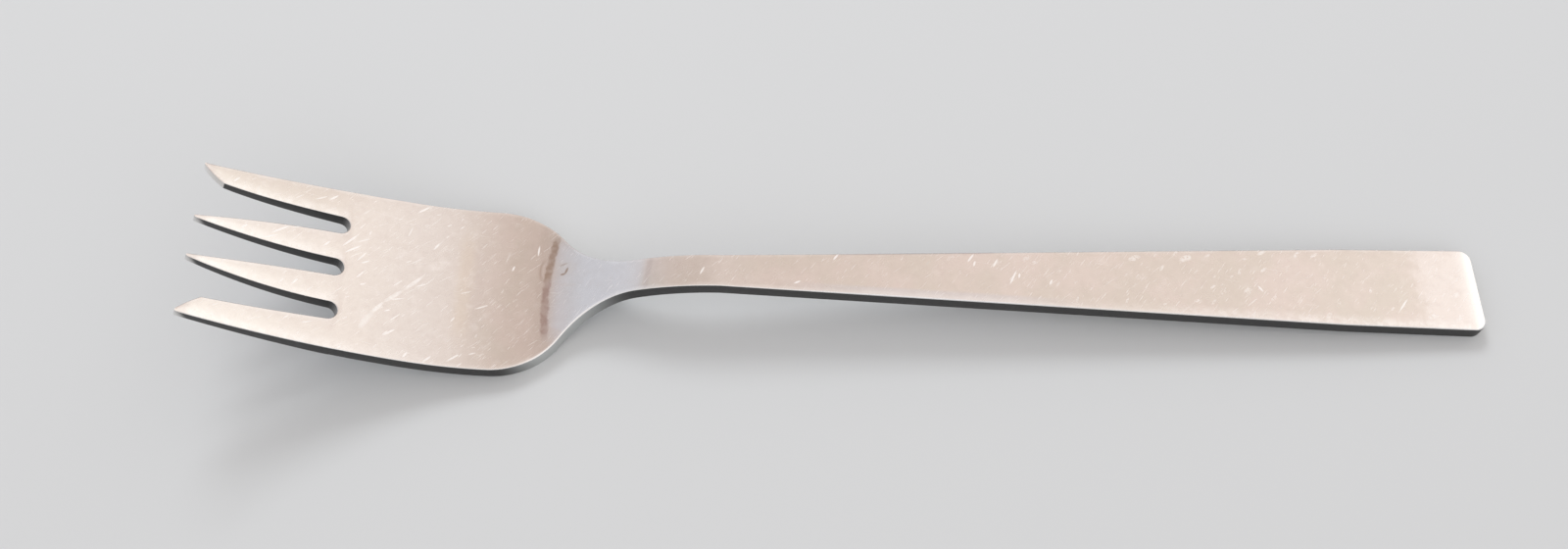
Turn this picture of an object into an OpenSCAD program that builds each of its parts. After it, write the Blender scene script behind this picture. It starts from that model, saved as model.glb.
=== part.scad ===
// Pastry fork in one piece of stainless sheet: blanked to its outline, slotted into four tines,
// thinned towards the tips, then bent to a hollow head, a rising neck and a falling handle.
// It lies on Z = 0 with its tines towards -X and its middle line on Y = 0.
// A slope is positive where the steel rises towards the tines.

/* [Blank] */
// Overall length as it lies, tine tips to handle end
overall_l = 150; // [135:1:175]
// Thickness of the sheet in handle, neck and head
sheet_t = 2.0; // [1.6:0.1:2.6]

/* [Handle] */
// Width at the end
end_w = 10.8; // [9.5:0.1:14]
// Radius of the end's two corners
end_corner_r = 1.5; // [0.5:0.1:3]
// Width where the straight taper eases off
ease_w = 10.2; // [8:0.1:12]
// Distance of that place from the end
ease_l = 17; // [8:1:30]
// Slope of the handle down to its end, in degrees
handle_angle = 3.3; // [3:0.1:5]

/* [Neck] */
// Width of the narrow part
neck_w = 4.1; // [3:0.1:6]
// Slope of the neck up from the head, in degrees
neck_angle = 23.5; // [18:0.5:30]
// Radius of the crest between neck and handle, on the upper face
crest_r = 29.5; // [22:0.5:36]
// Radius of the flare from neck to head, in plan
flare_r = 11.9; // [8:0.1:18]

/* [Head] */
// Width across the shoulders
head_w = 21.1; // [19:0.1:26]
// Radius of the two long sides, in plan
side_r = 450; // [250:10:900]
// Distance from the heel's lowest line forward to the widest place
shoulder_l = 5.4; // [4:0.1:8]
// Radius of the crease above the heel, on the upper face
crease_r = 10; // [4:0.5:14]
// Slope of the flat in front of the heel, in degrees
heel_angle = 3.7; // [2:0.1:8]
// Length of that flat
heel_l = 2.3; // [1:0.1:8]
// Radius of the bend that lifts the head, on the upper face
lift_r = 40; // [30:1:60]
// Slope where that bend ends, in degrees
lift_angle = 20.9; // [15:0.1:28]
// Length from that bend to the roots of the tines
front_l = 8.85; // [5:0.05:14]
// Radius of the long sweep from there to the tips, on the upper face
sweep_r = 125; // [90:1:200]

/* [Tines] */
// Length from root to tip
tine_l = 15.95; // [12:0.05:20]
// Thickness at the tips
tip_t = 1.2; // [0.8:0.1:1.5]
// Width of the three slots at their round closed ends
slot_w = 2.15; // [1.8:0.05:2.8]
// Width of an inner tine at its root
inner_root_w = 3.4; // [2.8:0.05:3.9]
// Radius of an inner tine's edge away from the middle
leaf_out_r = 85; // [60:5:200]
// Radius of an inner tine's edge towards the middle
leaf_mid_r = 150; // [80:5:300]
// How far an inner tine leans to the middle over its length
inner_lean_w = 0.3; // [0:0.05:0.8]
// How far an outer tine's inner edge leans outwards over its length
outer_lean_w = 0.45; // [0:0.05:0.8]
// Length of the slanting cut that points an outer tine
cut_l = 2.45; // [1.5:0.05:4]
// Width of the blunt end of each tip
tip_w = 0.3; // [0.2:0.05:0.6]

/* [Hidden] */

$fn = 256;

steel = [0.85, 0.81, 0.78];

// Direction square to a face of a given slope, and along it towards the handle, both as [x, z]
function up(slope) = [sin(slope), cos(slope)];
function along(slope) = [cos(slope), -sin(slope)];

// A closed outline, mirrored across the middle line, from the points of its edge at -Y
function both_sides(half) = concat(half, [for (i = [len(half) - 1:-1:0]) [half[i][0], -half[i][1]]]);

// Stock that is wider and taller than any outline cut from it
stock_w = 2 * head_w;
stock_h = overall_l;

// Radii of the underside in each bend
crease_under_r = crease_r + sheet_t;
lift_under_r = lift_r + sheet_t;
sweep_under_r = sweep_r + sheet_t;
crest_under_r = crest_r - sheet_t;

// Middles of the head's bends and ends of its stretches on the underside, from the heel's lowest line
crease_up = [0, crease_under_r];
flat_back = crease_up - crease_under_r * up(heel_angle);
flat_front = flat_back - heel_l * along(heel_angle);
lift_up = flat_front + lift_under_r * up(heel_angle);
lift_front = lift_up - lift_under_r * up(lift_angle);
sweep_up = lift_front + sweep_under_r * up(lift_angle);
root_angle = lift_angle + front_l / sweep_r * 180 / PI;
sweep_front = sweep_up - sweep_under_r * up(root_angle);

// The underside of the tines has the sweep's radius, turned about the roots so that they thin to the tips
thin_angle = asin((sheet_t - tip_t) / tine_l);
thin_out = sweep_under_r * sin(thin_angle);
thin_up = sweep_under_r * cos(thin_angle);
tip_up = thin_up - sqrt(pow(sweep_under_r, 2) - pow(tine_l + thin_out, 2));

// The heel's lowest line, placed so that the tips reach the overall length
tip_reach = tine_l * cos(root_angle) - tip_up * sin(root_angle) - sweep_front[0];
heel_line = [tip_reach - overall_l / 2, 0];

// Lengths of handle and neck that set the handle's end on the table
crest_turn = crest_under_r * (up(handle_angle) - up(-neck_angle));
crease_turn = crease_up - crease_under_r * up(-neck_angle);
turns = crest_turn + crease_turn;
handle_run = overall_l / 2 - heel_line[0] - turns[0] + turns[1] / tan(neck_angle);
handle_l = handle_run / (cos(handle_angle) + sin(handle_angle) / tan(neck_angle));
neck_l = (handle_l * sin(handle_angle) - turns[1]) / sin(neck_angle);

neck_start = heel_line + crease_turn;
handle_start = neck_start + neck_l * along(-neck_angle) + crest_turn;

// Outline in plan, measured from the middle of the round of the shoulders
round_x = heel_line[0] - shoulder_l;
round_r = head_w / 2;
flare_y = neck_w / 2 + flare_r;
flare_l = sqrt(pow(round_r + flare_r, 2) - pow(flare_y, 2));
shoulder_y = flare_y * round_r / (round_r + flare_r);
taper_l = handle_start[0] + sheet_t * sin(handle_angle) - round_x;
end_l = overall_l / 2 - round_x;

// Distance of the head's side edge from the middle line
function side_y(x) = round_r - side_r + sqrt(pow(side_r, 2) - pow(x - round_x, 2));

// Slots and tines across the roots
slot_pitch = slot_w + inner_root_w;
inner_root_y = slot_pitch / 2;
outer_root_y = slot_pitch + slot_w / 2;
outer_tip_y = side_y(-overall_l / 2) - tip_w;

// Sheet that starts at a line on its underside and goes on towards the handle
module sheet_from(start, slope) {
    translate([start[0], 0, start[1]])
        rotate([0, slope, 0])
            children();
}

// A flat stretch of sheet, and what follows it
module flat(length) {
    translate([0, -stock_w / 2, 0])
        cube([length, stock_w, sheet_t]);
    translate([length, 0, 0])
        children();
}

// A bend whose upper face is hollow
module hollow_bend(under_r, turn) {
    translate([0, 0, under_r])
        rotate([90, 0, 0])
            rotate_extrude(angle = turn, start = -90)
                translate([under_r - sheet_t, -stock_w / 2])
                    square([sheet_t, stock_w]);
}

// A bend whose upper face is raised
module raised_bend(under_r, turn) {
    translate([0, 0, -under_r])
        mirror([1, 0, 0])
            rotate([90, 0, 0])
                rotate_extrude(angle = turn, start = 90)
                    translate([under_r, -stock_w / 2])
                        square([sheet_t, stock_w]);
}

// An upright cutter with an outline drawn in plan from the middle of the shoulders' round
module upright() {
    translate([round_x, 0, -stock_h / 2])
        linear_extrude(height = stock_h)
            children();
}

// Two long sides that swell towards the shoulders
module sides_plan() {
    intersection() {
        translate([-overall_l, -stock_w / 2])
            square([overall_l, stock_w]);
        intersection_for (side = [-1, 1])
            translate([0, side * (side_r - round_r)])
                circle(side_r);
    }
}

// The head's outline: its sides, the round of its shoulders and what it shares with the neck
module head_plan() {
    sides_plan();
    circle(round_r);
    neck_plan();
}

// The neck's straight edges, and the concave flares that run from them to the round shoulders
module neck_plan() {
    difference() {
        polygon(both_sides([
            [0, -shoulder_y],
            [flare_l, -shoulder_y],
            [flare_l, -neck_w / 2],
            [taper_l + sheet_t, -neck_w / 2]
        ]));
        for (side = [-1, 1])
            translate([flare_l, side * flare_y])
                circle(flare_r);
    }
}

// A straight taper that eases off before a square end with round corners
module handle_plan() {
    edge = atan((end_w - ease_w) / 2 / ease_l);
    corner_y = end_w / 2 - end_corner_r * (tan(edge) + 1 / cos(edge));
    difference() {
        polygon(both_sides([
            [taper_l - sheet_t, -neck_w / 2],
            [taper_l, -neck_w / 2],
            [end_l - ease_l, -ease_w / 2],
            [end_l, -end_w / 2]
        ]));
        for (side = [0, 1])
            mirror([0, side])
                translate([end_l - end_corner_r, corner_y])
                    rotate(edge)
                        difference() {
                            square(end_w);
                            circle(end_corner_r);
                        }
    }
}

// Turns shapes drawn along +X from the roots' underside towards the tips
module at_roots() {
    sheet_from(heel_line + sweep_front, root_angle)
        rotate([0, 0, 180])
            children();
}

// Round closed ends of the three slots, which reach into the head
module slot_ends() {
    at_roots()
        linear_extrude(height = stock_h, center = true)
            for (slot = [-1:1])
                translate([0, slot * slot_pitch])
                    circle(d = slot_w);
}

// Swept and thinned sheet of the tines, cut to the outline of one of them
module tine_sheet() {
    at_roots()
        intersection() {
            difference() {
                translate([-thin_out, 0, thin_up])
                    rotate([90, 0, 0])
                        cylinder(r = sweep_under_r, h = stock_w, center = true);
                translate([0, 0, sweep_under_r])
                    rotate([90, 0, 0])
                        cylinder(r = sweep_r, h = 2 * stock_w, center = true);
            }
            linear_extrude(height = stock_h, center = true)
                children();
        }
}

// An inner tine, leaf-shaped: its two edges are bowed and close in to its point
module inner_tine(side) {
    tip_y = inner_root_y - inner_lean_w;
    tine_sheet()
        scale([1, -side])
            intersection() {
                translate([0, -stock_w / 2])
                    square([tine_l, stock_w]);
                bowed_edge(inner_root_y - inner_root_w / 2, tip_y - tip_w / 2, leaf_mid_r, 1);
                bowed_edge(inner_root_y + inner_root_w / 2, tip_y + tip_w / 2, leaf_out_r, -1);
            }
}

// Disc whose rim passes an edge's root and tip, with its middle on the +Y or -Y side of them
module bowed_edge(root_y, tip_y, r, side) {
    half_run = [tine_l, tip_y - root_y] / 2;
    half_l = norm(half_run);
    rise = side * sqrt(pow(r, 2) - pow(half_l, 2)) / half_l;
    translate([half_run[0] - rise * half_run[1], root_y + half_run[1] + rise * half_run[0]])
        circle(r);
}

// An outer tine, which keeps the head's side edge and is cut slanting from within to its point
module outer_tine(side) {
    intersection() {
        tine_sheet()
            scale([1, -side])
                polygon([
                    [0, outer_root_y],
                    [tine_l - cut_l, outer_root_y + outer_lean_w],
                    [tine_l, outer_tip_y],
                    [tine_l, stock_w / 2],
                    [0, stock_w / 2]
                ]);
        upright()
            sides_plan();
    }
}

module handle() {
    color(steel)
        intersection() {
            sheet_from(handle_start, handle_angle)
                flat(handle_l + sheet_t);
            upright()
                handle_plan();
        }
}

module neck() {
    color(steel)
        intersection() {
            sheet_from(neck_start, -neck_angle)
                flat(neck_l)
                    raised_bend(crest_under_r, neck_angle + handle_angle);
            upright()
                neck_plan();
        }
}

module heel() {
    color(steel)
        intersection() {
            sheet_from(heel_line + flat_front, heel_angle)
                flat(heel_l)
                    hollow_bend(crease_under_r, heel_angle + neck_angle);
            upright()
                head_plan();
        }
}

module back() {
    color(steel)
        intersection() {
            sheet_from(heel_line + lift_front, lift_angle)
                hollow_bend(lift_under_r, lift_angle - heel_angle);
            upright()
                head_plan();
        }
}

module root() {
    color(steel)
        difference() {
            intersection() {
                sheet_from(heel_line + sweep_front, root_angle)
                    hollow_bend(sweep_under_r, root_angle - lift_angle);
                upright()
                    sides_plan();
            }
            slot_ends();
        }
}

module tine_1() {
    color(steel)
        outer_tine(1);
}

module tine_2() {
    color(steel)
        inner_tine(1);
}

module tine_3() {
    color(steel)
        inner_tine(-1);
}

module tine_4() {
    color(steel)
        outer_tine(-1);
}

handle();
neck();
heel();
back();
root();
tine_1();
tine_2();
tine_3();
tine_4();
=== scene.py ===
import math
import bmesh
import bpy
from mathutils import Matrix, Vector


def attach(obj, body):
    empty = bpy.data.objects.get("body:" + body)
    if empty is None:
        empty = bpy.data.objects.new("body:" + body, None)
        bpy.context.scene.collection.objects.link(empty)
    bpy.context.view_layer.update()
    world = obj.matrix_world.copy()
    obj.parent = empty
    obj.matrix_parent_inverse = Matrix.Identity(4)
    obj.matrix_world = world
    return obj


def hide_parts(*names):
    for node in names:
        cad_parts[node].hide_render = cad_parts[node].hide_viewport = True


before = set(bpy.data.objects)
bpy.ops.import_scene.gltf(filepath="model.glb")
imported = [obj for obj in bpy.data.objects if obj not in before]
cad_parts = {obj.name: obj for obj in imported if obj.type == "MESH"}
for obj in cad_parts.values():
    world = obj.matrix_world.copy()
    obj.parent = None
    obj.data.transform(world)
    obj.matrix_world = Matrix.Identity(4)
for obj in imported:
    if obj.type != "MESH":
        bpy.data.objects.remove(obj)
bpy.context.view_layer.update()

# The pastry fork is one blank of satin stainless sheet, about 2 mm thick: punched to its outline and
# slots, thinned at the tips, pressed to its bends and tumbled, which rounds its edges a little.
# It is modelled in that order, upper face first, and lies on its heel and the end of its handle.
MM = 0.001
SHEET = 2.0
HALF_LENGTH, TABLE_Z = 74.999, 0.001
HANDLE_END_HALF, EASE_HALF, EASE_LENGTH, END_CORNER = 5.4, 5.1, 17.0, 1.5
HANDLE_SLOPE, NECK_SLOPE, HEEL_SLOPE, LIFT_SLOPE, ROOT_SLOPE = 3.3, -23.5, 3.7, 20.9, 24.957
HANDLE_RUN, NECK_RUN, HEEL_RUN = 90.897, 5.02, 2.3
CREST_UNDER, CREASE_UNDER, LIFT_UNDER, SWEEP_UNDER = 27.5, 12.0, 42.0, 127.0
SWEEP_UPPER = SWEEP_UNDER - SHEET
NECK_HALF, FLARE_RADIUS = 2.05, 11.9
SHOULDER_X, SHOULDER_RADIUS, SIDE_RADIUS = -43.084, 10.549, 450.0
TINE, TIP_THICKNESS, TIP_HALF = 15.945, 1.2, 0.15
SLOT_HALF, SLOT_PITCH = 1.075, 5.55
INNER_TIP_Y, LEAF_OUT_BOW, LEAF_MID_BOW = 2.475, 0.38, 0.22
OUTER_LEAN, CUT_LENGTH, CUT_BOW, TIP_ROUND = 0.45, 2.45, 0.14, 0.35
HANDLE_STEP, TINE_STEP, CUT_STEPS, CUT_ROWS = 1.6, 0.9, 10, 8
CORNER_TURNS, SLOT_TURNS, TIP_TURNS = range(0, 91, 9), range(15, 91, 15), (0, 20, 40, 60, 75, 86)
TIP_ROWS = len(TIP_TURNS)


def square_to(slope):
    """The direction through the sheet where it rises at a slope towards the tines, as x and z."""
    return math.sin(math.radians(slope)), math.cos(math.radians(slope))


def half_width(x):
    """Distance of the outline from the middle line at a place along the fork."""
    flare_y = NECK_HALF + FLARE_RADIUS
    flare_x = math.sqrt((SHOULDER_RADIUS + FLARE_RADIUS) ** 2 - flare_y ** 2)
    from_round = x - SHOULDER_X
    if from_round < 0:
        return SHOULDER_RADIUS - SIDE_RADIUS + math.sqrt(SIDE_RADIUS ** 2 - from_round ** 2)
    if from_round < flare_x * SHOULDER_RADIUS / (SHOULDER_RADIUS + FLARE_RADIUS):
        return math.sqrt(SHOULDER_RADIUS ** 2 - from_round ** 2)
    if from_round < flare_x:
        return flare_y - math.sqrt(FLARE_RADIUS ** 2 - (flare_x - from_round) ** 2)
    if x < taper_x:
        return NECK_HALF
    ease_x = HALF_LENGTH - EASE_LENGTH
    if x < ease_x:
        return NECK_HALF + (EASE_HALF - NECK_HALF) * (x - taper_x) / (ease_x - taper_x)
    straight = EASE_HALF + (HANDLE_END_HALF - EASE_HALF) * (x - ease_x) / EASE_LENGTH
    into_corner = x - (HALF_LENGTH - END_CORNER)
    if into_corner <= 0:
        return straight
    return straight - END_CORNER + math.sqrt(max(END_CORNER ** 2 - into_corner ** 2, 0))


# Rows of the sheet from the handle's end to the closed ends of the slots, each with the x and z of its
# upper face and of its underside
rows = []
zone_ends = {}
rise = math.tan(math.radians(HANDLE_SLOPE))
lean_x, lean_z = square_to(HANDLE_SLOPE)
start_under = HALF_LENGTH - HANDLE_RUN * lean_z
taper_x = start_under + SHEET * lean_x
handle_steps = int(HANDLE_RUN / HANDLE_STEP)
handle_xs = [HALF_LENGTH - END_CORNER * (1 - math.cos(math.radians(turn))) for turn in CORNER_TURNS]
handle_xs += [HALF_LENGTH - END_CORNER - step * HANDLE_STEP for step in range(1, handle_steps)]
for x in [x for x in handle_xs if x > taper_x + HANDLE_STEP / 2] + [taper_x]:
    way = (HALF_LENGTH - x) / (HALF_LENGTH - taper_x)
    lower_x = HALF_LENGTH + way * (start_under - HALF_LENGTH)
    upper_z = TABLE_Z + (HALF_LENGTH - x) * rise + SHEET / lean_z
    rows.append((x, upper_z, lower_x, TABLE_Z + (HALF_LENGTH - lower_x) * rise))


def go_straight(length, slope, steps):
    """A flat run of the sheet."""
    x, z = rows[-1][2:]
    off_x, off_z = square_to(slope)
    for step in range(1, steps + 1):
        way = length * step / steps
        lower = (x - way * off_z, z + way * off_x)
        rows.append((lower[0] + SHEET * off_x, lower[1] + SHEET * off_z) + lower)


def go_round(under_radius, from_slope, to_slope, steps):
    """A bend about a line above the sheet, or below it where the radius is negative."""
    off_x, off_z = square_to(from_slope)
    middle = (rows[-1][2] + under_radius * off_x, rows[-1][3] + under_radius * off_z)
    for step in range(1, steps + 1):
        off_x, off_z = square_to(from_slope + (to_slope - from_slope) * step / steps)
        lower = (middle[0] - under_radius * off_x, middle[1] - under_radius * off_z)
        rows.append((lower[0] + SHEET * off_x, lower[1] + SHEET * off_z) + lower)


zone_ends["handle"] = len(rows) - 1
go_round(-CREST_UNDER, HANDLE_SLOPE, NECK_SLOPE, steps=27)
go_straight(NECK_RUN, NECK_SLOPE, steps=10)
zone_ends["neck"] = len(rows) - 1
go_round(CREASE_UNDER, NECK_SLOPE, HEEL_SLOPE, steps=27)
go_straight(HEEL_RUN, HEEL_SLOPE, steps=5)
zone_ends["heel"] = len(rows) - 1
go_round(LIFT_UNDER, HEEL_SLOPE, LIFT_SLOPE, steps=24)
zone_ends["back"] = len(rows) - 1
slot_slope = ROOT_SLOPE - math.degrees(SLOT_HALF / SWEEP_UPPER)
sweep_start = rows[-1][2:]
go_round(SWEEP_UNDER, LIFT_SLOPE, slot_slope, steps=14)

# Rows of the tines, measured from their roots along the sheet's slope there
off_x, off_z = square_to(LIFT_SLOPE)
root_off_x, root_off_z = square_to(ROOT_SLOPE)
root_x = sweep_start[0] + SWEEP_UNDER * (off_x - root_off_x)
root_z = sweep_start[1] + SWEEP_UNDER * (off_z - root_off_z)
thin = math.asin((SHEET - TIP_THICKNESS) / TINE)
tine_steps = int((TINE - CUT_LENGTH) / TINE_STEP)
tine_rows = [-SLOT_HALF * math.cos(math.radians(turn)) for turn in SLOT_TURNS]
tine_rows += [TINE - CUT_LENGTH - step * TINE_STEP for step in range(tine_steps, -1, -1)]
tine_rows += [TINE - CUT_LENGTH * (1 - step / CUT_STEPS) for step in range(1, CUT_ROWS + 1)]
tine_rows += [TINE - TIP_ROUND * (1 - math.sin(math.radians(turn))) for turn in TIP_TURNS]
slot_row = len(rows)
for s in tine_rows:
    upper = SWEEP_UNDER - math.sqrt(SWEEP_UPPER ** 2 - s ** 2)
    if s < 0:
        lower = SWEEP_UNDER - math.sqrt(SWEEP_UNDER ** 2 - s ** 2)
    else:
        reach = s + SWEEP_UNDER * math.sin(thin)
        lower = SWEEP_UNDER * math.cos(thin) - math.sqrt(SWEEP_UNDER ** 2 - reach ** 2)
    rows.append((
        root_x - s * root_off_z + upper * root_off_x,
        root_z + s * root_off_x + upper * root_off_z,
        root_x - s * root_off_z + lower * root_off_x,
        root_z + s * root_off_x + lower * root_off_z,
    ))


def tine_edges(s, x, outer):
    """Distances of a tine's two edges from the middle line, at a place along it."""
    slot = math.sqrt(SLOT_HALF ** 2 - s ** 2) if s < 0 else SLOT_HALF
    way = max(s, 0) / TINE
    bow = 4 * way * (1 - way)
    if outer:
        near, far = SLOT_PITCH + slot, half_width(x)
        near += OUTER_LEAN * max(s, 0) / (TINE - CUT_LENGTH)
        into_cut = (s - TINE + CUT_LENGTH) / CUT_LENGTH
        if into_cut > 0:
            tip_near = half_width(-HALF_LENGTH) - 2 * TIP_HALF
            cut_start = SLOT_PITCH + SLOT_HALF + OUTER_LEAN
            near = cut_start + (tip_near - cut_start) * into_cut
            near -= 4 * CUT_BOW * into_cut * (1 - into_cut)
    else:
        near = slot + (INNER_TIP_Y - TIP_HALF - SLOT_HALF) * way - LEAF_MID_BOW * bow
        far = SLOT_PITCH - slot + (INNER_TIP_Y + TIP_HALF - SLOT_PITCH + SLOT_HALF) * way
        far += LEAF_OUT_BOW * bow
    into_tip = (s - TINE + TIP_ROUND) / TIP_ROUND
    if into_tip > 0:
        middle, half = (near + far) / 2, (far - near) / 2
        half *= math.sqrt(1 - into_tip ** 2)
        near, far = middle - half, middle + half
    return near, far


def select_in_mesh(mesh, wanted):
    """Selects the vertices that a test by place lets through, with the edges and faces between them."""
    for vert in mesh.verts:
        vert.select = wanted(vert)
    mesh.select_flush_mode()


# The upper face of one half: one edge of a strip at the handle's end, drawn out row by row to the outline
COLUMNS, NEARLY, SAME_ROW = 4, 0.01, 0.001
bpy.ops.object.select_all(action="DESELECT")
bpy.ops.mesh.primitive_grid_add(x_subdivisions=1, y_subdivisions=COLUMNS, size=1, location=(0, 0, 0))
fork = bpy.context.object
fork.name = "fork_blank"
bpy.ops.object.mode_set(mode="EDIT")
bpy.ops.mesh.select_mode(type="VERT")
blank = bmesh.from_edit_mesh(fork.data)
select_in_mesh(blank, lambda vert: vert.co.x < 0)
bpy.ops.mesh.delete(type="VERT")
first_half = half_width(rows[0][0])
split_at = SLOT_PITCH / half_width(rows[slot_row - 1][0])
select_in_mesh(blank, lambda vert: vert.co.y < NEARLY)
bpy.ops.transform.resize(value=(1, 2 * split_at, 1), center_override=(0, -0.5, 0))
select_in_mesh(blank, lambda vert: vert.co.y > split_at - 0.5 + NEARLY)
bpy.ops.transform.resize(value=(1, 2 * (1 - split_at), 1), center_override=(0, 0.5, 0))
bpy.ops.mesh.select_all(action="SELECT")
bpy.ops.transform.translate(value=(rows[0][0] * MM - 0.5, 0.5, rows[0][1] * MM))
bpy.ops.transform.resize(value=(1, first_half * MM, 1), center_override=(0, 0, 0))


def in_row(vert, row_x):
    """Whether a vertex of the upper face lies in the row at a place along the fork."""
    return abs(vert.co.x / MM - row_x) < SAME_ROW


def draw_out(before, after, old_edges, new_edges):
    """Extrudes the selected edge to the next row, between that row's two edges."""
    old_middle, new_middle = sum(old_edges) / 2, sum(new_edges) / 2
    move = ((after[0] - before[0]) * MM, (new_middle - old_middle) * MM, (after[1] - before[1]) * MM)
    bpy.ops.mesh.extrude_region_move(TRANSFORM_OT_translate={"value": move})
    widen = (new_edges[1] - new_edges[0]) / (old_edges[1] - old_edges[0])
    bpy.ops.transform.resize(value=(1, widen, 1), center_override=(0, new_middle * MM, 0))


for before, after in zip(rows[:slot_row - 1], rows[1:slot_row]):
    draw_out(before, after, (0, half_width(before[0])), (0, half_width(after[0])))
for outer in (False, True):
    slot_x = rows[slot_row - 1][0]
    blank = bmesh.from_edit_mesh(fork.data)
    side_of_slot = (lambda y: y > SLOT_PITCH - NEARLY) if outer else (lambda y: y < SLOT_PITCH + NEARLY)
    select_in_mesh(blank, lambda vert: in_row(vert, slot_x) and side_of_slot(vert.co.y / MM))
    before = rows[slot_row - 1]
    old_edges = (SLOT_PITCH, half_width(slot_x)) if outer else (0, SLOT_PITCH)
    for s, after in zip(tine_rows, rows[slot_row:]):
        new_edges = tine_edges(s, after[0], outer)
        draw_out(before, after, old_edges, new_edges)
        before, old_edges = after, new_edges
bpy.ops.object.mode_set(mode="OBJECT")

# The other half, mirrored
WELD = 1e-6
mirror = fork.modifiers.new("other half", "MIRROR")
mirror.use_axis = (False, True, False)
mirror.merge_threshold = WELD
bpy.ops.object.modifier_apply(modifier=mirror.name)

# The far outer tine is ground narrower towards its point than the near one
FAR_TINE_GROUND, GROUND_FALL = 0.13, 4
bpy.ops.object.mode_set(mode="EDIT")
for s, row in zip(tine_rows, rows[slot_row:]):
    blank = bmesh.from_edit_mesh(fork.data)
    select_in_mesh(blank, lambda vert: in_row(vert, row[0]) and vert.co.y / MM > SLOT_PITCH)
    narrow = 1 - FAR_TINE_GROUND * min(max(s, 0) / (TINE - CUT_LENGTH), 1) ** GROUND_FALL
    far = tine_edges(s, row[0], True)[1]
    bpy.ops.transform.resize(value=(1, narrow, 1), center_override=(0, far * MM, 0))
bpy.ops.object.mode_set(mode="OBJECT")

# The thickness: the whole sheet is drawn down, and each row of its underside is set to its place
bpy.ops.object.mode_set(mode="EDIT")
bpy.ops.mesh.select_all(action="SELECT")
bpy.ops.mesh.normals_make_consistent(inside=False)
bpy.ops.mesh.extrude_region_move(TRANSFORM_OT_translate={"value": (0, 0, 0)})
blank = bmesh.from_edit_mesh(fork.data)
underside = [vert for vert in blank.verts if vert.select]
by_row = {}
for vert in underside:
    row = min(range(len(rows)), key=lambda index: abs(rows[index][0] - vert.co.x / MM))
    by_row.setdefault(row, []).append(vert.index)
for row, indices in by_row.items():
    upper_x, upper_z, lower_x, lower_z = rows[row]
    blank = bmesh.from_edit_mesh(fork.data)
    bpy.ops.mesh.select_all(action="DESELECT")
    blank.verts.ensure_lookup_table()
    for index in indices:
        blank.verts[index].select = True
    blank.select_flush_mode()
    bpy.ops.transform.translate(value=((lower_x - upper_x) * MM, 0, (lower_z - upper_z) * MM))
    if row < slot_row:
        narrow = half_width(lower_x) / half_width(upper_x)
        bpy.ops.transform.resize(value=(1, narrow, 1), center_override=(0, 0, 0))
bpy.ops.mesh.select_all(action="SELECT")
bpy.ops.mesh.normals_make_consistent(inside=False)
bpy.ops.object.mode_set(mode="OBJECT")

# The handle's end and the tips are each one flat face within their round corners, so that their edges can
# be rounded in one piece
FACES_UP, END_REACH, TIP_REACH = 0.5, 0.05, 0.005
bpy.ops.object.mode_set(mode="EDIT")
bpy.ops.mesh.select_mode(type="FACE")
blank = bmesh.from_edit_mesh(fork.data)
for face in blank.faces:
    xs = [vert.co.x / MM for vert in face.verts]
    tip_x = rows[-TIP_ROWS][0 if face.normal.z > 0 else 2]
    at_end = min(xs) > HALF_LENGTH - END_CORNER - END_REACH or max(xs) < tip_x + TIP_REACH
    face.select = at_end and abs(face.normal.z) > FACES_UP
blank.select_flush_mode()
bpy.ops.mesh.dissolve_faces()
bpy.ops.mesh.select_mode(type="VERT")

# The edges, rounded by tumbling: most on the handle, less in the slots and below, least at the tips
BEVEL, HANDLE_ROUND, HEAD_ROUND, SLOT_ROUND = 0.6, 0.32, 0.18, 0.14
UNDER_ROUND, POINT_ROUND, ROUND_GROWS, TINE_SHARE = 0.12, 0.05, 20, 0.22
OFF_OUTLINE, ROUND_STEPS = 0.05, 4
blank = bmesh.from_edit_mesh(fork.data)
weights = blank.edges.layers.float.new("bevel_weight_edge")
for edge in blank.edges:
    tilts = sorted(abs(face.normal.z) for face in edge.link_faces)
    if tilts[0] > FACES_UP or tilts[1] < FACES_UP:
        continue
    x, y = [sum(vert.co[axis] for vert in edge.verts) / 2 / MM for axis in (0, 1)]
    upper = max(face.normal.z for face in edge.link_faces) > FACES_UP
    along_handle = min(max((x - taper_x) / ROUND_GROWS, 0), 1)
    wide = HEAD_ROUND + (HANDLE_ROUND - HEAD_ROUND) * along_handle if upper else UNDER_ROUND
    row = min(range(len(rows)), key=lambda index: abs(rows[index][0 if upper else 2] - x))
    if row >= slot_row - 1:
        near, far = tine_edges(tine_rows[max(row - slot_row, 0)], x, abs(y) > SLOT_PITCH)
        on_slot = abs(abs(y) - half_width(x)) > OFF_OUTLINE
        wide = min(SLOT_ROUND if on_slot else wide, TINE_SHARE * (far - near))
        if row > len(rows) - TIP_ROWS:
            wide = 0 if abs(y) > SLOT_PITCH else POINT_ROUND
    edge[weights] = wide / BEVEL
bpy.ops.object.mode_set(mode="OBJECT")
bevel = fork.modifiers.new("tumbled edges", "BEVEL")
bevel.limit_method = "WEIGHT"
bevel.width = BEVEL * MM
bevel.segments = ROUND_STEPS
bevel.use_clamp_overlap = False
bevel.loop_slide = False
bpy.ops.object.modifier_apply(modifier=bevel.name)

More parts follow.
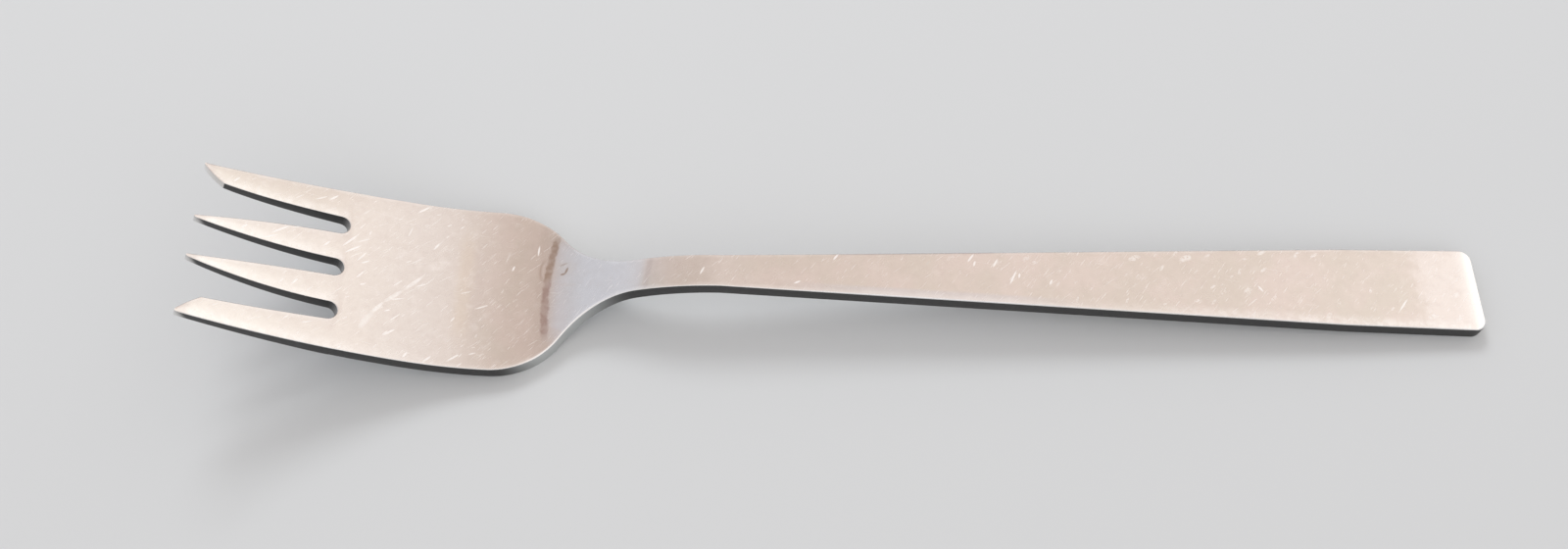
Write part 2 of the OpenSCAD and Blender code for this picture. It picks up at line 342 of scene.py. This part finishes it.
# The finish differs over the skin, so the mesh carries it: which faces are walls left by the punch and how
# much painted shade each takes, most in front, which are on the upper side, and how far each point lies
# within the outline and from its front
BACK_WALL_SHADE, CUT_WALL, UPRIGHT = 0.55, 0.12, 0.25
wall_shade = fork.data.attributes.new("wall_shade", "FLOAT", "FACE")
upper_side = fork.data.attributes.new("upper_side", "FLOAT", "FACE")
for face in fork.data.polygons:
    x = face.center.x / MM
    row = min(range(1, len(rows)), key=lambda index: abs(rows[index][0] - x))
    run_x, run_z = rows[row][0] - rows[row - 1][0], rows[row][1] - rows[row - 1][1]
    lean = (face.normal.x * run_z - face.normal.z * run_x) / math.hypot(run_x, run_z)
    upright = min(abs(lean), abs(face.normal.z)) < UPRIGHT
    # Painted shade on the walls: full on those that face the front, a little over half on the others
    wall_shade_share = BACK_WALL_SHADE + (1 - BACK_WALL_SHADE) * max(-face.normal.y, 0)
    wall_shade.data[face.index].value = wall_shade_share if upright else 0.0
    on_cut = row >= len(rows) - TIP_ROWS - CUT_ROWS and abs(face.center.y) / MM > SLOT_PITCH
    if upright and on_cut:
        near, far = tine_edges(tine_rows[row - slot_row], x, True)
        if abs(face.center.y) / MM < (near + far) / 2:
            wall_shade.data[face.index].value = CUT_WALL
    upper_side.data[face.index].value = 1.0 if lean > 0 and not upright else 0.0
inset = fork.data.attributes.new("inset", "FLOAT", "POINT")
front_inset = fork.data.attributes.new("front_inset", "FLOAT", "POINT")
for vert in fork.data.vertices:
    x, y = vert.co.x / MM, vert.co.y / MM
    row = min(range(len(rows)), key=lambda index: abs(rows[index][0] - x))
    if row < slot_row:
        far = half_width(min(x, HALF_LENGTH))
        near = -far
    else:
        near, far = tine_edges(tine_rows[row - slot_row], x, abs(y) > SLOT_PITCH)
        if y < 0:
            near, far = -far, -near
    inset.data[vert.index].value = min(y - near, far - y, HALF_LENGTH - x)
    front_inset.data[vert.index].value = y - near

# The finished skin is parted at the lines where the zones of the fork meet, and each end is closed
zones = ("fork_handle", "fork_neck", "fork_heel", "fork_back", "fork_root")
part_rows = [zone_ends[name] for name in ("handle", "neck", "heel", "back")]
part_rows.append(slot_row + len(SLOT_TURNS) - 1)


def beyond(place, row):
    """Whether a place lies on the tine side of a row's line through the sheet."""
    upper_x, upper_z, lower_x, lower_z = rows[row]
    across = (place.z / MM - lower_z) / (upper_z - lower_z)
    return place.x / MM < lower_x + (upper_x - lower_x) * across


def part_off(wanted, name):
    """Parts the faces that a test lets through from the blank as a piece of their own."""
    bpy.ops.object.select_all(action="DESELECT")
    fork.select_set(True)
    bpy.context.view_layer.objects.active = fork
    bpy.ops.object.mode_set(mode="EDIT")
    bpy.ops.mesh.select_mode(type="FACE")
    blank = bmesh.from_edit_mesh(fork.data)
    for face in blank.faces:
        face.select = wanted(face.calc_center_median())
    blank.select_flush_mode()
    bpy.ops.mesh.separate(type="SELECTED")
    bpy.ops.object.mode_set(mode="OBJECT")
    piece = [o for o in bpy.context.selected_objects if o != fork][0]
    piece.name = name
    return piece


SMOOTH_ANGLE = 35
pieces = {}
for name, row in zip(zones, part_rows):
    pieces[name] = part_off(lambda place: not beyond(place, row), name)
pieces["fork_tine_1"] = part_off(lambda place: place.y > SLOT_PITCH * MM, "fork_tine_1")
pieces["fork_tine_2"] = part_off(lambda place: place.y > 0, "fork_tine_2")
pieces["fork_tine_4"] = part_off(lambda place: place.y < -SLOT_PITCH * MM, "fork_tine_4")
pieces["fork_tine_3"] = fork
fork.name = "fork_tine_3"
for name, piece in pieces.items():
    piece.data.name = name
    bpy.ops.object.select_all(action="DESELECT")
    piece.select_set(True)
    bpy.context.view_layer.objects.active = piece
    bpy.ops.object.mode_set(mode="EDIT")
    bpy.ops.mesh.select_mode(type="VERT")
    bpy.ops.mesh.select_all(action="SELECT")
    bpy.ops.mesh.fill_holes(sides=0)
    skin = bmesh.from_edit_mesh(piece.data)
    for face in skin.faces:
        face.select = len(face.verts) > 2 * COLUMNS
    bpy.ops.mesh.quads_convert_to_tris(quad_method="BEAUTY", ngon_method="BEAUTY")
    bpy.ops.mesh.select_all(action="SELECT")
    bpy.ops.mesh.normals_make_consistent(inside=False)
    bpy.ops.object.mode_set(mode="OBJECT")
    bpy.ops.object.shade_smooth_by_angle(angle=math.radians(SMOOTH_ANGLE))
    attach(piece, "root")
    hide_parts(name.removeprefix("fork_"))

# The steel: satin, warm where it is polished, with a painted cool reflection on the neck, and scratched by
# use


class Socket:
    """One socket of a material's nodes; sums of sockets add the Math nodes for them."""

    def __init__(self, tree, socket):
        self.tree = tree
        self.socket = socket

    def node(self, kind, settings, sockets, output=0):
        """Adds a node, with its settings and then its sockets set, and gives one of its outputs."""
        made = self.tree.nodes.new(kind)
        for name, value in settings.items():
            setattr(made, name, value)
        for name, value in sockets.items():
            if isinstance(value, Socket):
                self.tree.links.new(value.socket, made.inputs[name])
            else:
                made.inputs[name].default_value = value
        return Socket(self.tree, made.outputs[output])

    def sum(self, operation, *values):
        """Adds one Math node."""
        return self.node("ShaderNodeMath", {"operation": operation}, dict(enumerate(values)))

    def __add__(self, other):
        return self.sum("ADD", self, other)

    def __sub__(self, other):
        return self.sum("SUBTRACT", self, other)

    def __rsub__(self, other):
        return self.sum("SUBTRACT", other, self)

    def __mul__(self, other):
        return self.sum("MULTIPLY", self, other)

    def __or__(self, other):
        return self.sum("MAXIMUM", self, other)

    def __abs__(self):
        return self.sum("ABSOLUTE", self)

    __radd__ = __add__
    __rmul__ = __mul__

    def step(self, low, high):
        """Rises smoothly from 0 at low to 1 at high, or falls where high is the smaller."""
        ends = {"Value": self, "From Min": low, "From Max": high}
        return self.node("ShaderNodeMapRange", {"interpolation_type": "SMOOTHSTEP"}, ends)


steel = bpy.data.materials.new("steel")
steel.use_nodes = True
tree = steel.node_tree
shader = tree.nodes["Principled BSDF"]
metres = Socket(tree, tree.nodes.new("ShaderNodeTexCoord").outputs["Object"])
place = metres.node("ShaderNodeVectorMath", {"operation": "SCALE"}, {0: metres, "Scale": 1 / MM})
x, y = [place.node("ShaderNodeSeparateXYZ", {}, {0: place}, axis) for axis in range(2)]


def carried(name):
    """A value that the fork's own mesh carries."""
    return place.node("ShaderNodeAttribute", {"attribute_name": name}, {}, 2)


GRAIN_ROUGH, LEAST_LEAN, MOST_LEAN = 0.55, 15, 75


def grain(size, detail=2.0, shift=0.0):
    """Cloudy noise about a half, its patches as large as the given millimetres."""
    moved = place.node("ShaderNodeVectorMath", {"operation": "ADD"}, {0: place, 1: (shift, 0, 0)})
    sockets = {"Vector": moved, "Scale": 1 / size, "Detail": detail, "Roughness": GRAIN_ROUGH}
    return place.node("ShaderNodeTexNoise", {}, sockets)


def hairlines(turn, long, wide, low, high, shift):
    """Fine scratches that run at one angle from the fork's length, thinned out to a few."""
    sockets = {"Vector": place, "Location": (shift, shift, 0), "Rotation": (0, 0, math.radians(turn)),
               "Scale": (long, wide, 3.0)}
    drawn = place.node("ShaderNodeMapping", {"vector_type": "TEXTURE"}, sockets)
    noise = place.node("ShaderNodeTexNoise", {}, {"Vector": drawn, "Scale": 1.0, "Detail": 1.0})
    return noise.step(low, high)


def mark(start, stop, wide):
    """A scratch or spot with pointed ends between two places, in millimetres."""
    long = math.dist(start, stop) / 2 + wide / 2
    middle = [(a + b) / 2 for a, b in zip(start, stop)]
    turn = math.atan2(stop[1] - start[1], stop[0] - start[0])
    sockets = {"Vector": place, "Location": (*middle, 0), "Rotation": (0, 0, turn),
               "Scale": (long, wide / 2, 1000)}
    drawn = place.node("ShaderNodeMapping", {"vector_type": "TEXTURE"}, sockets)
    away = place.node("ShaderNodeVectorMath", {"operation": "LENGTH"}, {0: drawn}, 1)
    return away.step(1.0, 0.45)


def dashes(cell, long, wide, share, shift):
    """Short scratches, at most one in each cell of a loose net, leaning from the least to the most."""
    moved = place.node("ShaderNodeVectorMath", {"operation": "ADD"}, {0: place, 1: (shift, 0, 0)})
    net = {"Vector": moved, "Scale": 1 / cell}
    chance, centre = [place.node("ShaderNodeTexVoronoi", {"voronoi_dimensions": "2D"}, net, name)
                      for name in ("Color", "Position")]
    drawn, bright, lean = [place.node("ShaderNodeSeparateColor", {}, {0: chance}, part)
                           for part in range(3)]
    off = place.node("ShaderNodeVectorMath", {"operation": "SUBTRACT"}, {0: moved, 1: centre})
    angle = math.radians(-LEAST_LEAN) - lean * math.radians(MOST_LEAN - LEAST_LEAN)
    lying = {"Vector": off, "Angle": angle}
    turned = place.node("ShaderNodeVectorRotate", {"rotation_type": "Z_AXIS"}, lying)
    halves = {0: turned, 1: (2 / long, 2 / wide, 0)}
    shape = place.node("ShaderNodeVectorMath", {"operation": "MULTIPLY"}, halves)
    away = place.node("ShaderNodeVectorMath", {"operation": "LENGTH"}, {0: shape}, 1)
    dash = (away * (1.6 - bright)).step(1.0, 0.4)
    return dash * drawn.step(share, share - 0.01) * (0.3 + bright * 0.7)


def blend(share, first, second):
    """One colour over another."""
    return place.node("ShaderNodeMix", {"data_type": "RGBA"}, {0: share, 6: first, 7: second}, 2)


wall, upper = carried("wall_shade"), carried("upper_side")
within, front = carried("inset"), carried("front_inset")

# Scratches of use, from place to place in millimetres: the long one across the head, the bold ones, and
# many short and fine ones that lean the same way, more on the head than on the handle. From here on, a pair
# of numbers along or across the fork, or in from an edge, is where a mark sets in and where it is full
LONG_SCRATCH = [(-57, -7), (-56, -5), (-55, -3.5), (-53, -1.5), (-51, 0.8)]
FOOT_WIDE, LONG_WIDE, BOLD_WIDE = 0.9, 0.55, 0.3
BOLD_SCRATCHES = [
    ((-60, 2.8), (-58.5, 4.7)), ((-59.7, 2), (-58, 3.4)), ((-67.3, 2.5), (-65.3, 4.2)),
    ((-62, 8.5), (-61.2, 9.3)), ((-50.3, 4.4), (-49.7, 5.4)), ((-52.6, 9), (-51.2, 10.2)),
    ((-52.2, -10), (-51.8, -9.3)), ((-50, -10.2), (-49.2, -9.4)), ((-41, 2.5), (-40.8, 3.1)),
    ((-38, 6), (-38.1, 4.6)), ((-18.1, -0.6), (-17.6, 0.4)), ((-7.1, -1.5), (-6.4, -1.2)),
    ((-2.5, 1.7), (-1.9, 2.5)), ((13.4, 1.9), (14.2, 3)), ((14.1, 1.4), (14.3, 2)),
    ((16.4, 1.3), (17, 2.4)), ((18.2, -1), (19.2, 1)), ((19.4, 0), (19.5, 0.5)),
    ((23, -0.8), (23.3, -0.2)), ((48, -0.3), (48.5, -1)), ((64.6, -3.2), (65.9, -1.5)),
]
CLOUD = ((-50.3, 2.0), (-48.6, 2.8), 1.8)
ON_HEAD, ON_HANDLE = (-38.0, -46.0), (-10.0, 40.0)
scratches = mark(LONG_SCRATCH[0], LONG_SCRATCH[1], FOOT_WIDE) * 0.7
for start, stop in zip(LONG_SCRATCH[1:], LONG_SCRATCH[2:]):
    scratches = scratches | mark(start, stop, LONG_WIDE)
scratches = scratches * (0.4 + grain(0.35, shift=15).step(0.3, 0.7) * 0.5)
for start, stop in BOLD_SCRATCHES:
    scratches = scratches | mark(start, stop, BOLD_WIDE)
head = x.step(*ON_HEAD)
fine = hairlines(turn=52, long=1.5, wide=0.14, low=0.67, high=0.76, shift=0)
fine = fine | hairlines(turn=38, long=2.6, wide=0.12, low=0.70, high=0.78, shift=80)
few = hairlines(turn=-8, long=5.0, wide=0.12, low=0.74, high=0.80, shift=120)
short = dashes(cell=1.4, long=0.8, wide=0.18, share=0.3, shift=0)
short = (short | dashes(cell=2.3, long=1.6, wide=0.18, share=0.35, shift=40)) * head
scuffs = dashes(cell=2.1, long=0.9, wide=0.35, share=0.35, shift=90)
scuffs = scuffs | dashes(cell=3.2, long=1.4, wide=0.6, share=0.3, shift=130)
scuffs = scuffs * grain(0.4, shift=300).step(0.35, 0.6) * x.step(*ON_HANDLE)
hazy = grain(1.5, detail=4, shift=75).step(0.52, 0.8) * (0.15 + head * 0.25)
cloud = mark(*CLOUD) * grain(0.6, detail=3, shift=330).step(0.3, 0.7)
hazy = hazy | (cloud * 0.5)
scratches = (scratches * upper) | short | (scuffs * 0.7) | (fine * 0.6) | (few * 0.35)

# The line of residue in the crease behind the head, with its spots, and beyond it the neck, where a cool
# reflection is painted
CREASE_X, CREASE_Y, CREASE_CURVE = -36.8, -2.0, 0.0121
CREST_X, CREST_LEAN = -24.5, 0.14
LINE_HALF, LINE_NEAR, LINE_FAR = (0.65, 0.25), (-7.0, -5.4), (7.4, 6.3)
LOOP_OUT, LOOP_IN = ((-37.2, 3.7), (-37.3, 1.5), 1.5), ((-37.1, 3.6), (-37.2, 1.6), 1.1)
TICK_FOOT, TICK_STEM = ((-35.1, 1.9), (-34.6, 1.95), 0.35), ((-34.6, 1.95), (-34.3, 2.7), 0.4)
STREAK = ((-35.4, 3.1), (-34.4, 3.35), 0.35)
WARM_SPOT, WARM_TRAIL = ((-36.3, 2.6), (-34.2, 2.6), 3.0), ((-36.0, 0.8), (-32.9, 0.1), 0.5)
HOOK_Y, HOOK_LONG = (-4.4, -6.2), 2.4
NECK_START, NECK_STOP = (0.1, 0.6), (0.1, -0.9)
past_crease = x - CREASE_X - (y - CREASE_Y) * (y - CREASE_Y) * CREASE_CURVE
past_crest = x - CREST_X - y * CREST_LEAN
ragged = (grain(0.6, detail=3) - 0.5) * 0.7
residue = abs(past_crease + ragged).step(*LINE_HALF) * y.step(*LINE_NEAR) * y.step(*LINE_FAR)
residue = residue * (0.6 + grain(0.9, shift=105).step(0.35, 0.65) * 0.4) * 0.85
loop = mark(*LOOP_OUT) - mark(*LOOP_IN)
tick = mark(*TICK_FOOT) | mark(*TICK_STEM)
stain = (residue | (tick * 0.8) | (mark(*STREAK) * 0.35) | (loop * 0.5)) * upper
spread = mark(*WARM_SPOT) * 0.5 + mark(*WARM_TRAIL) * 0.4
hook = y.step(*HOOK_Y) * HOOK_LONG
neck = (past_crease - hook).step(*NECK_START) * past_crest.step(*NECK_STOP) * (1 - spread * upper)

# Marks of the bends, a line on the crest and a press mark and tarnish across the head, and painted shade
# about the crease
CREST_LINE, CREST_LINE_HALF = 0.25, (0.5, 0.1)
SHADE_X, SHADE_HALF, PRESS_X, PRESS_HALF = -36.5, (5.0, 0.5), -44.8, (1.4, 0.1)
TARNISH_X, TARNISH_HALF, ACROSS_NEAR, ACROSS_FAR = -46.4, (1.5, 0.2), (-8.5, -4.0), (8.5, 4.0)
crest_line = abs(past_crest - CREST_LINE).step(*CREST_LINE_HALF) * upper
crease_shade = abs(x - SHADE_X).step(*SHADE_HALF) * upper
across = y.step(*ACROSS_NEAR) * y.step(*ACROSS_FAR) * upper
press_mark = abs(x - PRESS_X).step(*PRESS_HALF) * across
tarnish = abs(x - TARNISH_X).step(*TARNISH_HALF) * across

# The colours along the fork, from its handle to its tines with painted highlights, and over them the neck
# and the marks of the bends
POLISHED, BLUSHED, HANDLE_END = (0.755, 0.71, 0.66, 1), (0.8, 0.735, 0.7, 1), (0.87, 0.825, 0.805, 1)
HEAD_STEEL_HIGHLIGHT, TINE_STEEL_HIGHLIGHT, NECK_COOL_REFLECTION = (0.82, 0.795, 0.775, 1), (0.86, 0.83, 0.8, 1), (0.785, 0.78, 0.79, 1)
SHADED, NEAR_RIM_REFLECTION, TARNISHED = (0.6, 0.525, 0.5, 1), (0.74, 0.745, 0.785, 1), (0.8, 0.73, 0.63, 1)
END_X, HEAD_X, TINES_X = (66.5, 69.0), (-39.5, -50.0), (-50.0, -60.0)
FAR_TINE_X, FAR_TINE_Y = (-56.0, -64.0), (5.5, 7.5)
START_FROM, START_TO = (-24.0, -22.0), (-8.0, -18.0)
NECK_MIDDLE, NECK_FADE = -29.5, (6.0, 2.0)
NEAR_HALF, FAR_HALF = (0.0, -0.5), (0.0, 0.5)
RIM_FROM, RIM_TO, RIM_WIDE = (-12.0, 2.0), (30.0, 15.0), (1.3, 0.8)
colour = blend(grain(6.0, detail=3).step(0.35, 0.65), POLISHED, BLUSHED)
ragged_x = x + (grain(1.2, detail=3, shift=240) - 0.5) * 4
# Painted highlight: the handle's end is painted lighter, as the bright reflection along its rounded end
colour = blend(ragged_x.step(*END_X), colour, HANDLE_END)
# Painted highlight: the head and tines are painted lighter and whiter than the handle, as the brighter light
# they reflect
colour = blend(x.step(*HEAD_X), colour, HEAD_STEEL_HIGHLIGHT)
colour = blend(x.step(*TINES_X), colour, TINE_STEEL_HIGHLIGHT)
# The far outer tine keeps less of the tines' painted highlight
far_tine = x.step(*FAR_TINE_X) * y.step(*FAR_TINE_Y)
colour = blend(far_tine * 0.7, colour, POLISHED)
# Painted highlight: the start of the handle behind the crest is painted lighter
handle_start_highlight = x.step(*START_FROM) * x.step(*START_TO)
colour = blend(handle_start_highlight * 0.6, colour, HEAD_STEEL_HIGHLIGHT)
colour = blend(tarnish * 0.4, colour, TARNISHED)
# Painted reflection: the neck is painted a cool grey, as the cool light its slope reflects, less of it near
# the crease
colour = blend(neck * (0.5 + abs(x - NECK_MIDDLE).step(*NECK_FADE) * 0.5), colour, NECK_COOL_REFLECTION)
# Painted reflection: a cool grey along the handle's near rim, as the edge highlight there
near_rim_reflection = x.step(*RIM_FROM) * y.step(*NEAR_HALF)
colour = blend(near_rim_reflection * within.step(*RIM_WIDE) * x.step(*RIM_TO) * 0.6, colour, NEAR_RIM_REFLECTION)
colour = blend(crest_line * 0.4 + press_mark * 0.15 + crease_shade * 0.3, colour, SHADED)
colour = blend(grain(0.9, detail=3, shift=30).step(0.35, 0.9) * 0.2, colour, SHADED)

# Pale along the edges, partly wear and partly painted highlight, with painted highlights on the front of the
# head and handle, the handle's end and the shoulder rim and painted glints on the points; painted shade on
# the far rim, greyer before the points; then the residue and the walls in painted shade, lighter at the
# shoulders as a painted reflection
PALE, RESIDUE, RESIDUE_LOW = (0.97, 0.97, 0.97, 1), (0.36, 0.24, 0.165, 1), (0.40, 0.27, 0.235, 1)
# Painted shade: the walls are near black; at the shoulders a lighter grey, a painted reflection of the lit
# floor beside them
DARK_WALL_SHADE, SHOULDER_WALL_REFLECTION = (0.09, 0.09, 0.09, 1), (0.6, 0.62, 0.62, 1)
SHOULDER_FROM, SHOULDER_TO, SHOULDER_RIM = (-42.0, -36.5), (-26.0, -33.0), (0.4, 0.15)
EDGE_BAND, FRONT_HIGHLIGHT, HEAD_HIGHLIGHT_X, HANDLE_HIGHLIGHT_X = (0.6, 0.0), (1.6, 0.1), (-46.0, -58.0), (15.0, 50.0)
POINTS_GLINT, END_HIGHLIGHT = (-74.2, -74.8), (72.2, 74.4)
FAR_RIM_WIDE, FAR_RIM_FROM, FAR_RIM_TO = (0.5, 0.1), (-4.0, 2.0), (20.0, 14.0)
GREY_FROM, GREY_TO, POINT_GLINT, LOW_Y = (-72.8, -74.0), (-74.9, -74.5), (-73.6, -74.6), (1.5, 0.9)
shoulder = x.step(*SHOULDER_FROM) * x.step(*SHOULDER_TO)
# Painted highlight: a pale rim along the front edge of the shoulders
shoulder_rim_highlight = shoulder * front.step(*SHOULDER_RIM) * (1 - wall)
edge_band_width = (within + grain(2.5, detail=4, shift=60) - 0.5) * (1 - near_rim_reflection * 0.35)
# A pale band along the edges, partly wear and partly painted highlight
edge_wear_and_highlight = edge_band_width.step(*EDGE_BAND) * 0.5
patchy = 0.25 + grain(0.8, detail=3, shift=270).step(0.35, 0.65) * 0.45
# Painted highlight: a patchy pale band along the front of the head and of the handle
front_highlight = front.step(*FRONT_HIGHLIGHT) * (x.step(*HEAD_HIGHLIGHT_X) | x.step(*HANDLE_HIGHLIGHT_X)) * patchy * upper
# Painted glints on the points and a painted highlight on the handle's end
ends_highlight = x.step(*POINTS_GLINT) * 0.9 + x.step(*END_HIGHLIGHT) * 0.85
wear_and_highlights = edge_wear_and_highlight | front_highlight | ends_highlight | hazy | shoulder_rim_highlight | (scratches * 0.85)
colour = blend(wear_and_highlights, colour, PALE)
# Painted shade: a thin darker line along the far rim of the handle
far_rim_shade = within.step(*FAR_RIM_WIDE) * y.step(*FAR_HALF) * x.step(*FAR_RIM_FROM) * x.step(*FAR_RIM_TO)
# Greyer just before the points
grey_before_points = x.step(*GREY_FROM) * x.step(*GREY_TO)
colour = blend((far_rim_shade * 0.6 + grey_before_points * 0.4) * upper, colour, SHADED)
colour = blend(stain * 0.85, colour, blend(y.step(*LOW_Y), RESIDUE, RESIDUE_LOW))
# The painted glints on the points show through the walls' painted shade
point = x.step(*POINT_GLINT) * 0.8
# The walls in painted shade, lighter at the shoulders as a painted reflection, and held off the points
colour = blend(wall * (1 - point), colour, blend(shoulder, DARK_WALL_SHADE, SHOULDER_WALL_REFLECTION))
tree.links.new(colour.socket, shader.inputs["Base Color"])

# Scratches, and the shoulder rim where a highlight is painted, scatter the light like a dull surface; the
# rest is bare metal, with its own roughness and, in millimetres, relief
SCATTER, SATIN = 0.55, 0.26
SWELL, GRAIN_HIGH, SCRATCH_DEEP, SHEAR_HIGH = 0.012, 0.0006, 0.003, 0.03
metal = 1 - (scratches | shoulder_rim_highlight) * SCATTER
tree.links.new(metal.socket, shader.inputs["Metallic"])
uneven = (grain(3.0, detail=3, shift=90) - 0.5) * 0.12
rough = SATIN + uneven + scratches * 0.12 + stain * 0.2 + wall * 0.25
tree.links.new(rough.socket, shader.inputs["Roughness"])
relief = grain(4.0, shift=150) * SWELL + grain(0.25, shift=180) * GRAIN_HIGH - fine * SCRATCH_DEEP
height = relief + wall * grain(0.3, detail=3, shift=210) * SHEAR_HIGH
bump = place.node("ShaderNodeBump", {}, {"Strength": 1.0, "Distance": MM, "Height": height})
tree.links.new(bump.socket, shader.inputs["Normal"])
for piece in pieces.values():
    piece.data.materials.clear()
    piece.data.materials.append(steel)

# The floor is a plain pale table top.
bpy.ops.object.select_all(action="DESELECT")
FLOOR_SIZE, FLOOR_GAP, FLOOR_PALE, FLOOR_DULL = 4, 0.00002, (0.62, 0.655, 0.68, 1), 0.9
bpy.ops.mesh.primitive_plane_add(size=FLOOR_SIZE, location=(0, 0, -FLOOR_GAP))
floor = bpy.context.object
floor.name = "floor"
pale = bpy.data.materials.new("floor_pale")
pale.use_nodes = True
pale.node_tree.nodes["Principled BSDF"].inputs["Base Color"].default_value = FLOOR_PALE
pale.node_tree.nodes["Principled BSDF"].inputs["Roughness"].default_value = FLOOR_DULL
floor.data.materials.append(pale)

# The light is a soft studio dome, brighter on the handle's side and in front, with one lamp behind the fork
# that throws its shadow forwards.
LOW_SIDE, FAR_SIDE, OVERHEAD = (0.76, 0.76, 0.80, 1), (0.73, 0.63, 0.575, 1), (0.98, 0.88, 0.825, 1)
HANDLE_SIDE, FRONT, HORIZON = (1.32, 1.27, 1.2, 1), (1.12, 1.1, 1.1, 1), (0.56, 0.57, 0.58, 1)
FAR_FROM, OVER_FROM, HANDLE_FROM = (-0.52, -0.38), (-0.1, 0.25), (0.45, 0.60)
FRONT_FROM, HORIZON_FROM = (-0.5, -0.85), (0.55, 0.15)
world = bpy.data.worlds.new("studio")
bpy.context.scene.world = world
world.use_nodes = True
sky = world.node_tree
toward = Socket(sky, sky.nodes.new("ShaderNodeTexCoord").outputs["Generated"])
to_handle, to_back, to_top = [toward.node("ShaderNodeSeparateXYZ", {}, {0: toward}, axis)
                              for axis in range(3)]


def dome_mix(share, first, second):
    """One colour of the dome over another."""
    return toward.node("ShaderNodeMix", {"data_type": "RGBA"}, {0: share, 6: first, 7: second}, 2)


dome = dome_mix(to_handle.step(*FAR_FROM), LOW_SIDE, FAR_SIDE)
dome = dome_mix(to_handle.step(*OVER_FROM), dome, OVERHEAD)
dome = dome_mix(to_handle.step(*HANDLE_FROM), dome, HANDLE_SIDE)
dome = dome_mix(to_back.step(*FRONT_FROM), dome, FRONT)
dome = dome_mix(to_top.step(*HORIZON_FROM), dome, HORIZON)
sky.links.new(dome.socket, sky.nodes["Background"].inputs["Color"])

bpy.ops.object.select_all(action="DESELECT")
LAMP_PLACE, LAMP_SIZE, LAMP_POWER = (-0.1, 0.5, 0.5), 0.25, 1.6
bpy.ops.object.light_add(type="AREA", location=LAMP_PLACE)
lamp = bpy.context.object
lamp.name = "back_lamp"
lamp.data.shape = "DISK"
lamp.data.size = LAMP_SIZE
lamp.data.energy = LAMP_POWER
lamp.rotation_euler = (-Vector(LAMP_PLACE)).to_track_quat("-Z", "Y").to_euler()
lamp.visible_glossy = False

# The camera stands where the photograph was taken from.
SENSOR, LENS, NEAREST = 36, 33.75, 0.001
EYE_PLACE, LOOK_DOWN, LOOK_ASIDE = (-0.00836, -0.07954, 0.15908), 62.54, 0.04
camera = bpy.data.cameras.new("camera")
camera.sensor_width = SENSOR
camera.sensor_fit = "HORIZONTAL"
camera.lens = LENS
camera.clip_start = NEAREST
eye = bpy.data.objects.new("camera", camera)
bpy.context.scene.collection.objects.link(eye)
eye.location = EYE_PLACE
eye.rotation_euler = (math.radians(90 - LOOK_DOWN), 0, math.radians(-LOOK_ASIDE))
bpy.context.scene.camera = eye
bpy.context.scene.view_settings.view_transform = "Standard"

bpy.context.view_layer.update()
